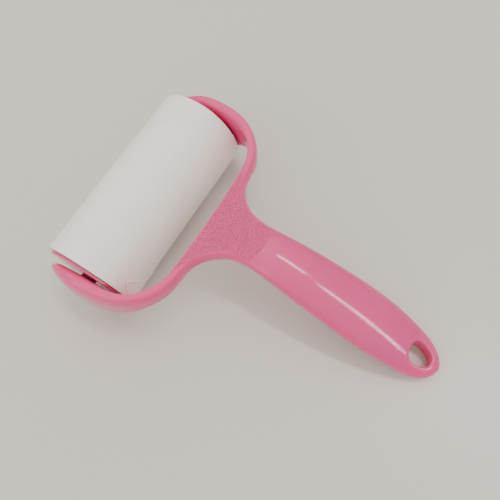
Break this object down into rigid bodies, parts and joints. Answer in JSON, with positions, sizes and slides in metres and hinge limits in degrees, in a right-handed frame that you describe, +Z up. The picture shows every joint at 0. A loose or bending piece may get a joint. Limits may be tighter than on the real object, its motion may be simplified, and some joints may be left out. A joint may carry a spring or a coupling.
{
  "type": "lint roller",
  "caption": "Hand-held sticky lint roller: forked one-piece plastic handle with a hanging hole, carrying a paper refill that turns on two end hubs.",
  "frame": {"origin": "on the table, under the middle of the whole tool's box", "axes": "+X along the handle towards the end of the grip, Y along the roll's axis, +Z up, as it lies on a table on its roll and the end of its grip"},
  "size_m": [0.1926, 0.1258, 0.0492],
  "materials": {
    "handle_plastic": "glossy moulded polypropylene, fine grain on the web",
    "hub_plastic": "moulded polypropylene",
    "core_board": "spiral-wound board",
    "sticky_paper": "adhesive-coated paper, wound",
    "sheet_paper": "satin coated paper"
  },
  "bodies": {
    "handle": {"fork_handle": "handle_plastic"},
    "roll": {"hub_left": "hub_plastic", "hub_right": "hub_plastic", "core_tube": "core_board", "adhesive_windings": "sticky_paper", "outer_sheet": "sheet_paper"}
  },
  "joints": [
    {"name": "roll_spin", "type": "hinge", "parent": "handle", "child": "roll", "pos_m": [-0.0717, 0, 0.0246], "axis": [0, 1, 0], "continuous": true}
  ]
}
